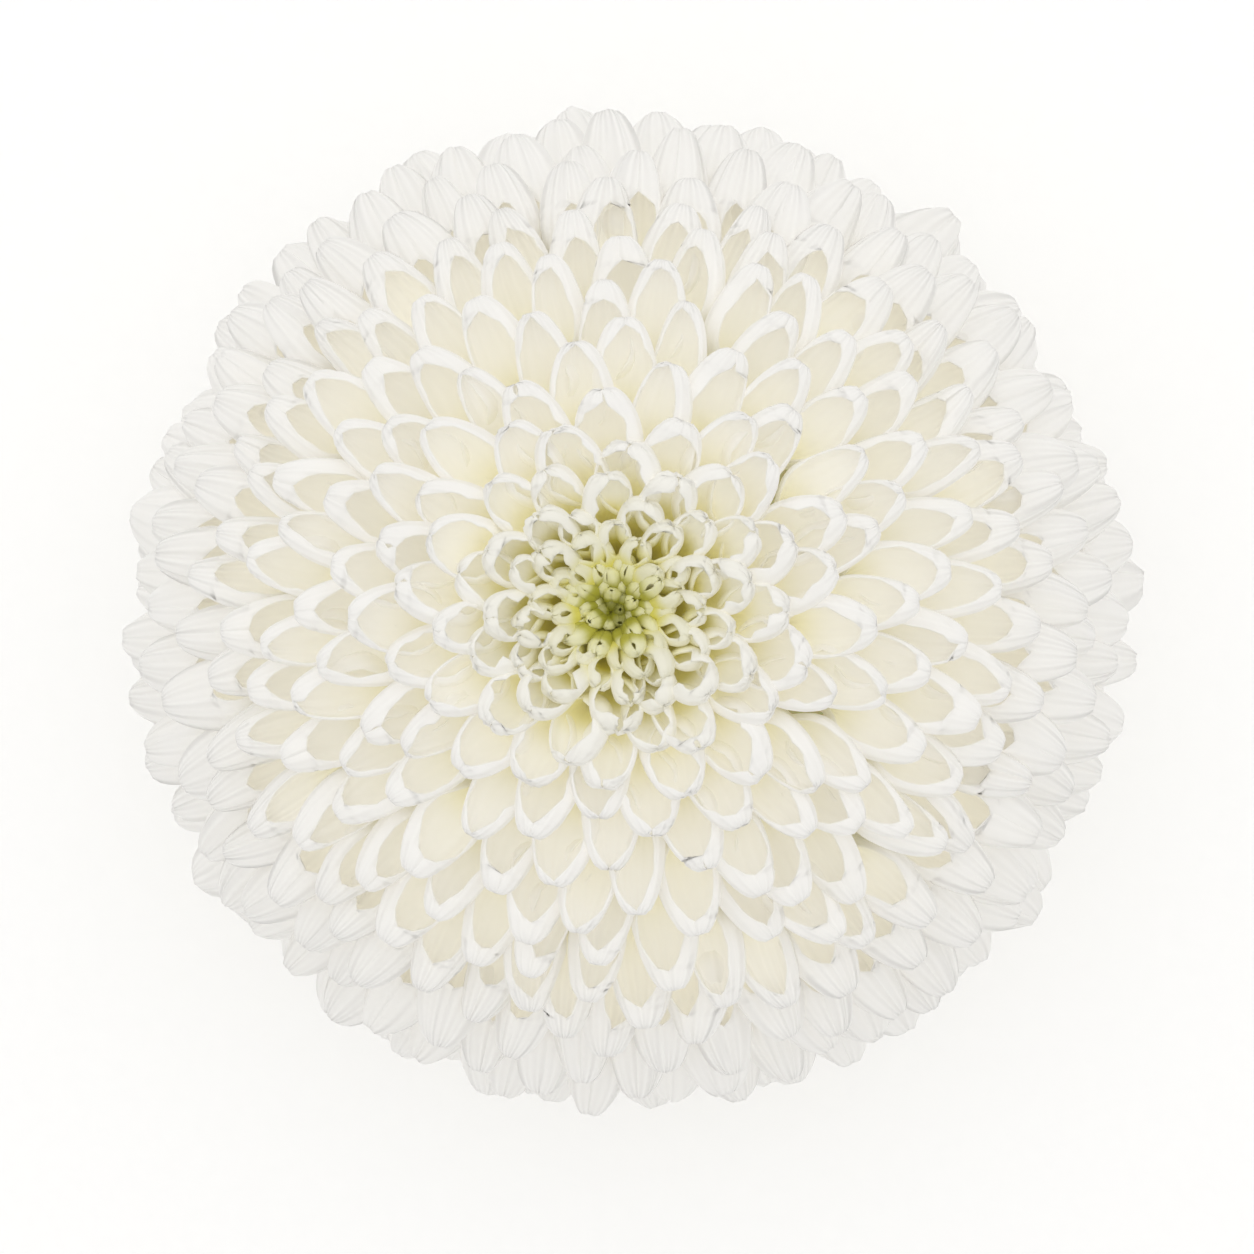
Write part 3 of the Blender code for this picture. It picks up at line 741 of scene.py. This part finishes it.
def cushion_finish():
    """Damp yellow-green tissue, deeper between its bumps and olive under the eye."""
    f = Finish("cushion_tissue", 0.6)
    cells = f.noise(f.place(), 1500, 3.0, 0.6)
    colour = f.mix(f.mark("bump"), CUSHION_HOLLOWS, CUSHION_BUMPS)
    colour = f.mix(f.ramp(cells, 0.35, 0.7, 0, 0.4), colour, CUSHION_PALE)
    f.colour(f.mix(f.mark("crown"), colour, CUSHION_OLIVE))
    f.roughness(f.ramp(cells, 0.2, 0.8, 0.5, 0.7))
    f.soft_inside(0.3, 0.0010)
    f.bump(cells, 0.0001, 0.5)
    return f.material


def make_cushion():
    angles = np.linspace(CUSHION_POLE, math.pi - CUSHION_POLE, CUSHION_RINGS)[:, None]
    turns = full_circle(CUSHION_AROUND)[None, :]
    rise = np.where(angles < math.pi / 2, CORE_RISE, CORE_DROP)
    radius, z = CORE_RADIUS * np.sin(angles), WIDEST_Z + rise * np.cos(angles)
    spots = round_the_axis(radius, z, turns)
    lumps = np.zeros(spots.shape[:2])
    for angle, turn, area in floret_places():
        middle = round_the_axis(*on_ball(CORE_RADIUS, CORE_RISE, CORE_DROP, root_angle(angle)), turn)
        apart = np.linalg.norm(spots - middle, axis=-1) / (CUSHION_BUMP_WIDTH * math.sqrt(area))
        lumps = np.maximum(lumps, np.exp(-(apart**2)))
    near_crown = angles < 1
    outward = spots - np.array([0, 0, WIDEST_Z])
    outward /= np.linalg.norm(outward, axis=-1, keepdims=True)
    spots = spots + outward * (lumps * CUSHION_BUMP)[..., None]
    spots[..., 2] -= np.exp(-((radius / CUSHION_DIP_RADIUS) ** 4)) * near_crown * CUSHION_DIP
    crown = np.exp(-((radius / CROWN_TINT_RADIUS) ** 2)) * near_crown + 0 * lumps
    marks = {"bump": lumps.ravel(), "crown": crown.ravel()}
    faces = [face[::-1] for face in turned_faces(CUSHION_RINGS, CUSHION_AROUND)]
    cushion = make_mesh("cushion", spots.reshape(-1, 3), faces, cushion_finish(), marks)
    seat(cushion, "ray_florets")


make_cushion()


# Eye: the youngest florets, short and yellow-green, packed in a shallow dimple at the crown. The middle
# ones are closed tubes and the outer ones begin to open. They stand on the cushion and lean outwards.
EYE_BASE_Z = 0.0445
EYE_KNEE = 0.62
EYE_TURN_SPREAD = 0.06
EYE_HEIGHT_SPREAD = 0.0004
EYE_STATIONS = 22
EYE_ACROSS = 19
EYE_SEED = 12
EYE_TIP_CREAM = (0.97, 0.95, 0.74)
EYE_TIP_GREEN = (0.86, 0.84, 0.38)
EYE_FOOT_YELLOW = (0.72, 0.67, 0.12)
EYE_FOOT_OLIVE = (0.33, 0.33, 0.01)
EYE_GRAIN_CREAM = (0.84, 0.82, 0.48)
EYE_MIDDLE_OLIVE = (0.20, 0.20, 0.01)
# Colour of the painted glow that the eye's florets emit.
EYE_PAINTED_GLOW = (1.0, 0.95, 0.45, 1)


def eye_finish():
    """Waxy yellow-green tube, paler towards its tip and away from the middle, deep olive at its foot, and
    painted shade of the foot colour inside it.
    """
    f = Finish("floret_green", 0.45)
    grain = f.noise(f.place(), 1800, 3.0, 0.55)
    tip = f.mix(f.mark("eye"), EYE_TIP_CREAM, EYE_TIP_GREEN)
    foot = f.mix(f.mark("eye"), EYE_FOOT_YELLOW, EYE_FOOT_OLIVE)
    colour = f.mix(f.ramp(grain, 0.35, 0.7, 0, 0.2), tip, EYE_GRAIN_CREAM)
    colour = f.mix(f.ramp(f.mark("eye"), 0.90, 1.0, 0, 0.9), colour, EYE_MIDDLE_OLIVE)
    colour = f.mix(f.mark("neck"), colour, foot)
    # Inside each tube the foot colour comes in: painted shade in the tube.
    f.colour(f.mix(f.sums("MULTIPLY", f.mark("inside"), 0.7), colour, foot))
    f.roughness(f.ramp(grain, 0.2, 0.8, 0.38, 0.55))
    f.soft_inside(0.2, 0.0006, (1.0, 1.0, 0.5))
    # A faint painted glow: the florets emit light though they are no lamp.
    f.shader.inputs["Emission Color"].default_value = EYE_PAINTED_GLOW
    f.shader.inputs["Emission Strength"].default_value = 0.012
    f.material.cycles.emission_sampling = "NONE"
    f.bump(grain, 0.00005, 0.5)
    return f.material


def make_eye():
    draw = random.Random(EYE_SEED)
    florets = []
    for angle, turn, area in floret_places():
        if angle >= WHITE_STARTS:
            break
        root = round_the_axis(CORE_RADIUS * math.sin(root_angle(angle)), EYE_BASE_Z, turn)
        turn += draw.gauss(0, EYE_TURN_SPREAD)
        tip = round_the_axis(*tip_point(angle), turn)
        tip = tip + np.array([0, 0, draw.gauss(0, EYE_HEIGHT_SPREAD)])
        knee = root + np.array([0, 0, (tip[2] - root[2]) * EYE_KNEE])
        out = HEAD_RADIUS * math.sin(angle)
        florets.append(make_floret(root, knee, tip, turn, area, out, EYE_STATIONS, EYE_ACROSS, draw))
    points, faces, marks = joined(florets, shell_faces(EYE_STATIONS, EYE_ACROSS))
    seat(make_mesh("eye_florets", points, faces, eye_finish(), marks), "centre_florets")


make_eye()


# Studio: the sheet of white paper that the head lies on, curved up at its far edges, in soft light from all
# round that is brightest overhead, towards the top of the picture. The camera is almost straight above.
PAPER_SIZE = 2.4
PAPER_CELLS = 24
PAPER_FLAT_TO = 0.6
PAPER_CURVE = 0.12
PAPER_WHITES = (0.93, 0.93, 0.93), (0.915, 0.915, 0.915)
PAPER_GLOW = 0.2
BRIGHTEST_FROM = (0.0, 0.25, 1.0)
ROOM_LIGHT = 0.62
CEILING_LIGHT = 1.10
ROOM_TINT = (1.0, 0.995, 0.985, 1)
CAMERA_REACH = 0.331
CAMERA_OFF_AXIS = (0.0105, -0.0036)
CAMERA_LENS = 135
CAMERA_FILM = 36
AIM = (-0.00014, -0.00098, 0.022)


def paper_finish():
    """Matt white paper with a faint grain."""
    f = Finish("white_paper", 0.9)
    grain = f.noise(f.place(), 900, 3.0, 0.6)
    f.colour(f.mix(f.ramp(grain, 0.3, 0.7, 0, 1), *PAPER_WHITES))
    f.shader.inputs["Emission Color"].default_value = (1, 1, 1, 1)
    f.shader.inputs["Emission Strength"].default_value = PAPER_GLOW
    f.material.cycles.emission_sampling = "NONE"
    f.bump(grain, 0.00003, 0.3)
    return f.material


def lay_paper():
    edge = np.linspace(-PAPER_SIZE / 2, PAPER_SIZE / 2, PAPER_CELLS + 1)
    x, y = np.meshgrid(edge, edge, indexing="ij")
    far = np.clip(np.hypot(x, y) - PAPER_FLAT_TO, 0, None)
    points = np.stack([x, y, PAPER_CURVE * far**2], -1).reshape(-1, 3)
    i, j = np.meshgrid(np.arange(PAPER_CELLS), np.arange(PAPER_CELLS), indexing="ij")
    here, beside = i * len(edge) + j, (i + 1) * len(edge) + j
    faces = np.stack([here, beside, beside + 1, here + 1], -1).reshape(-1, 4)
    make_mesh("paper", points, faces.tolist(), paper_finish())


def light_room():
    room = bpy.data.worlds.new("room")
    room.use_nodes = True
    air = room.node_tree
    facing = air.nodes.new("ShaderNodeVectorMath")
    facing.operation = "DOT_PRODUCT"
    air.links.new(air.nodes.new("ShaderNodeTexCoord").outputs["Generated"], facing.inputs[0])
    facing.inputs[1].default_value = Vector(BRIGHTEST_FROM).normalized()
    glow = air.nodes.new("ShaderNodeMapRange")
    glow.interpolation_type = "SMOOTHSTEP"
    air.links.new(facing.outputs["Value"], glow.inputs["Value"])
    for socket, number in zip(list(glow.inputs)[1:5], (0.3, 1.0, ROOM_LIGHT, CEILING_LIGHT)):
        socket.default_value = number
    air.nodes["Background"].inputs["Color"].default_value = ROOM_TINT
    air.links.new(glow.outputs[0], air.nodes["Background"].inputs["Strength"])
    room.cycles.sampling_method = "NONE"
    bpy.context.scene.world = room
    bpy.context.scene.view_settings.view_transform = "Standard"
    bpy.context.scene.cycles.max_bounces = 24
    bpy.context.scene.cycles.diffuse_bounces = 8


def place_camera():
    lens = bpy.data.cameras.new("camera")
    lens.lens = CAMERA_LENS
    lens.sensor_width = CAMERA_FILM
    lens.clip_end = 10
    camera = bpy.data.objects.new("camera", lens)
    aim = Vector(AIM)
    back = Vector((*CAMERA_OFF_AXIS, WIDEST_Z + CAMERA_REACH)) - aim
    away = back.normalized()
    right = Vector((1, 0, 0)) - away * away.x
    right.normalize()
    turn = Matrix((right, away.cross(right), away)).transposed().to_4x4()
    camera.matrix_world = Matrix.Translation(aim + back) @ turn
    bpy.context.scene.collection.objects.link(camera)
    bpy.context.scene.camera = camera


lay_paper()
light_room()
place_camera()
